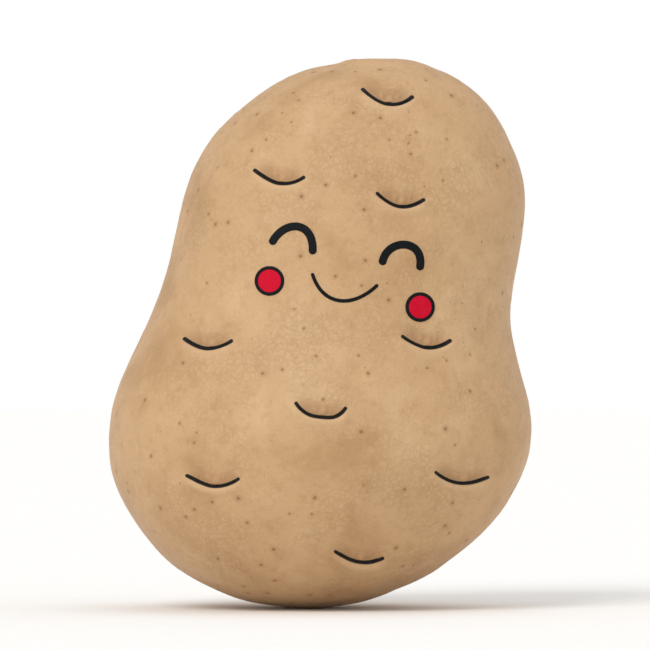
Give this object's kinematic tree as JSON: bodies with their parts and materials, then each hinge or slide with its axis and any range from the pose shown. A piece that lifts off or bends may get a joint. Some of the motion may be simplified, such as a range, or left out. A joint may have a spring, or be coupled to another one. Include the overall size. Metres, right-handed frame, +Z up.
{
  "type": "potato",
  "caption": "Whole raw potato, pear-shaped with a soft waist and shallow eyes, standing upright on a small flat spot at its broad heel end.",
  "frame": {"origin": "on the surface the potato rests on, under the middle of its bounding box", "axes": "+Z up along the tuber from the heel end to the rose end, -Y out of the broad front side, +X to the right seen from the front"},
  "size_m": [0.077, 0.065, 0.1],
  "materials": {
    "potato_skin": "matte tan potato skin"
  },
  "bodies": {
    "root": {"potato": "potato_skin"}
  },
  "joints": []
}
